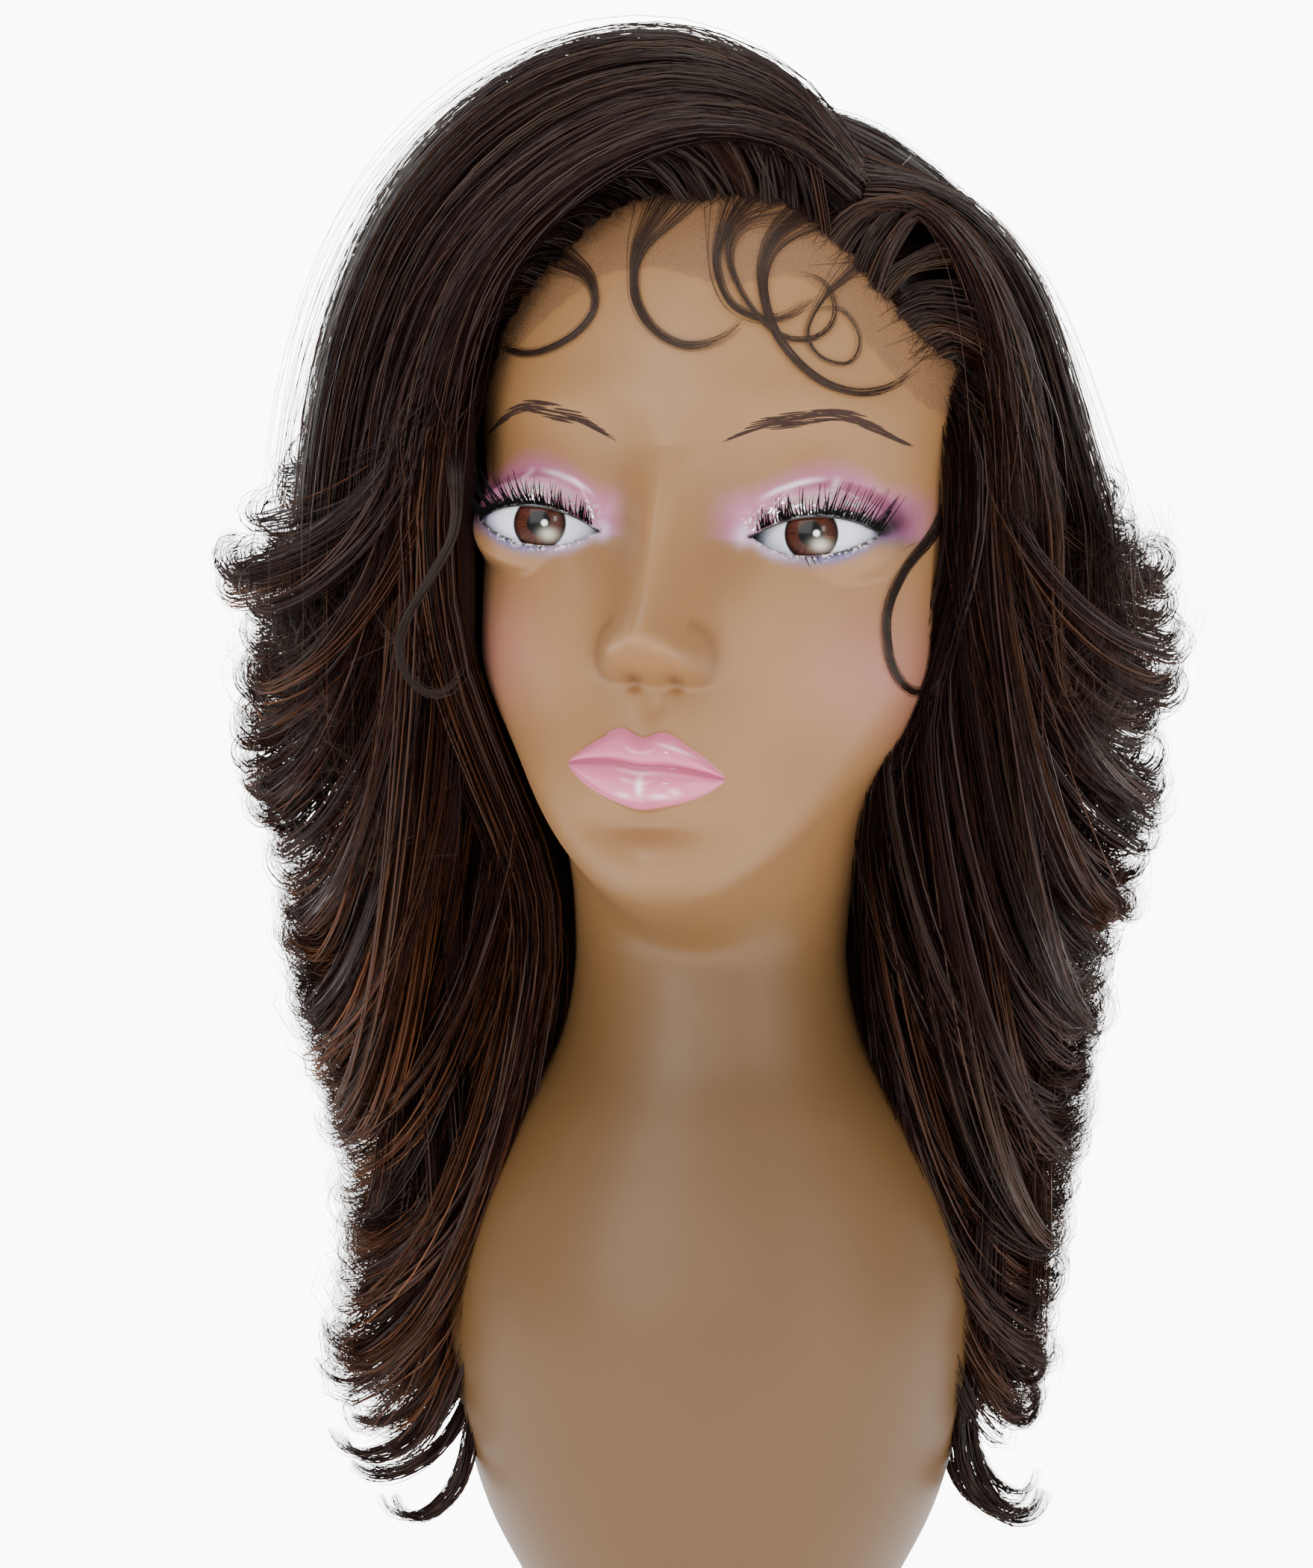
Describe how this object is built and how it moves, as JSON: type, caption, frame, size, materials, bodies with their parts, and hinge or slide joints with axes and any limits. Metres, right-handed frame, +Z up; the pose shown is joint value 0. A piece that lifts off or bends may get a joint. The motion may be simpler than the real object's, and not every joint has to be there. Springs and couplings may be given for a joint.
{
  "type": "mannequin training head",
  "caption": "Hollow display head and bust with inset eyes and a weighted base, wearing a long layered lace-front wig that lifts off.",
  "frame": {"origin": "on the resting face, under the middle of the neck", "axes": "+Z up; the bust faces -Y; +X is the side of the mannequin's own left ear"},
  "size_m": [0.2773, 0.2396, 0.4654],
  "materials": {
    "skin": "moulded skin, satin flesh paint",
    "resin": "raw resin strip",
    "wood": "birch plywood, sealed",
    "steel": "zinc-plated screw",
    "iron": "bare cast weight",
    "foam": "closed-cell foam pad",
    "eye": "painted and gloss coated",
    "lash": "synthetic lash fibre on a band",
    "lace": "sheer lace, cut edge",
    "net": "stretch net",
    "elastic": "woven elastic",
    "hook": "moulded hook",
    "comb": "moulded comb",
    "hair_dark": "dark brown synthetic hair",
    "hair_light": "auburn highlight synthetic hair"
  },
  "bodies": {
    "mannequin": {"front_shell": "skin", "rear_shell": "skin", "seam_strip_left": "resin", "seam_strip_right": "resin", "base_ring": "wood", "base_plate": "wood", "base_screws": "steel", "base_weight": "iron", "base_pad": "foam", "eye_left": "eye", "eye_right": "eye", "lash_strip_left": "lash", "lash_strip_right": "lash"},
    "wig": {"lace_front": "lace", "cap_top": "net", "cap_back": "net", "part_lace": "lace", "ear_tab_left": "elastic", "ear_tab_right": "elastic", "nape_band": "elastic", "adjuster_strap_left": "elastic", "adjuster_strap_right": "elastic", "adjuster_hook_left": "hook", "adjuster_hook_right": "hook", "comb_left": "comb", "comb_right": "comb", "comb_nape": "comb", "weft_tracks": "net", "hair_top_sweep": "hair_dark", "hair_part_side": "hair_dark", "hair_crown": "hair_dark", "hair_left_front": "hair_dark", "hair_left_side": "hair_dark", "hair_left_back": "hair_dark", "hair_right_front": "hair_dark", "hair_right_side": "hair_dark", "hair_right_back": "hair_dark", "hair_back_left": "hair_dark", "hair_back_middle": "hair_dark", "hair_back_right": "hair_dark", "hair_under_left": "hair_light", "hair_under_right": "hair_light", "hair_tips_left": "hair_light", "hair_tips_right": "hair_light", "baby_hair": "hair_dark", "tendril_left": "hair_dark", "tendril_right": "hair_dark"}
  },
  "joints": [
    {"name": "wig_lift", "type": "slide", "parent": "mannequin", "child": "wig", "axis": [0, 0, 1], "range_m": [0, 0.42], "deforming": ["lace_front", "cap_top", "cap_back", "part_lace", "ear_tab_left", "ear_tab_right", "nape_band", "adjuster_strap_left", "adjuster_strap_right", "adjuster_hook_left", "adjuster_hook_right", "comb_left", "comb_right", "comb_nape", "weft_tracks", "hair_under_left", "hair_under_right", "baby_hair", "tendril_left", "tendril_right"]}
  ]
}
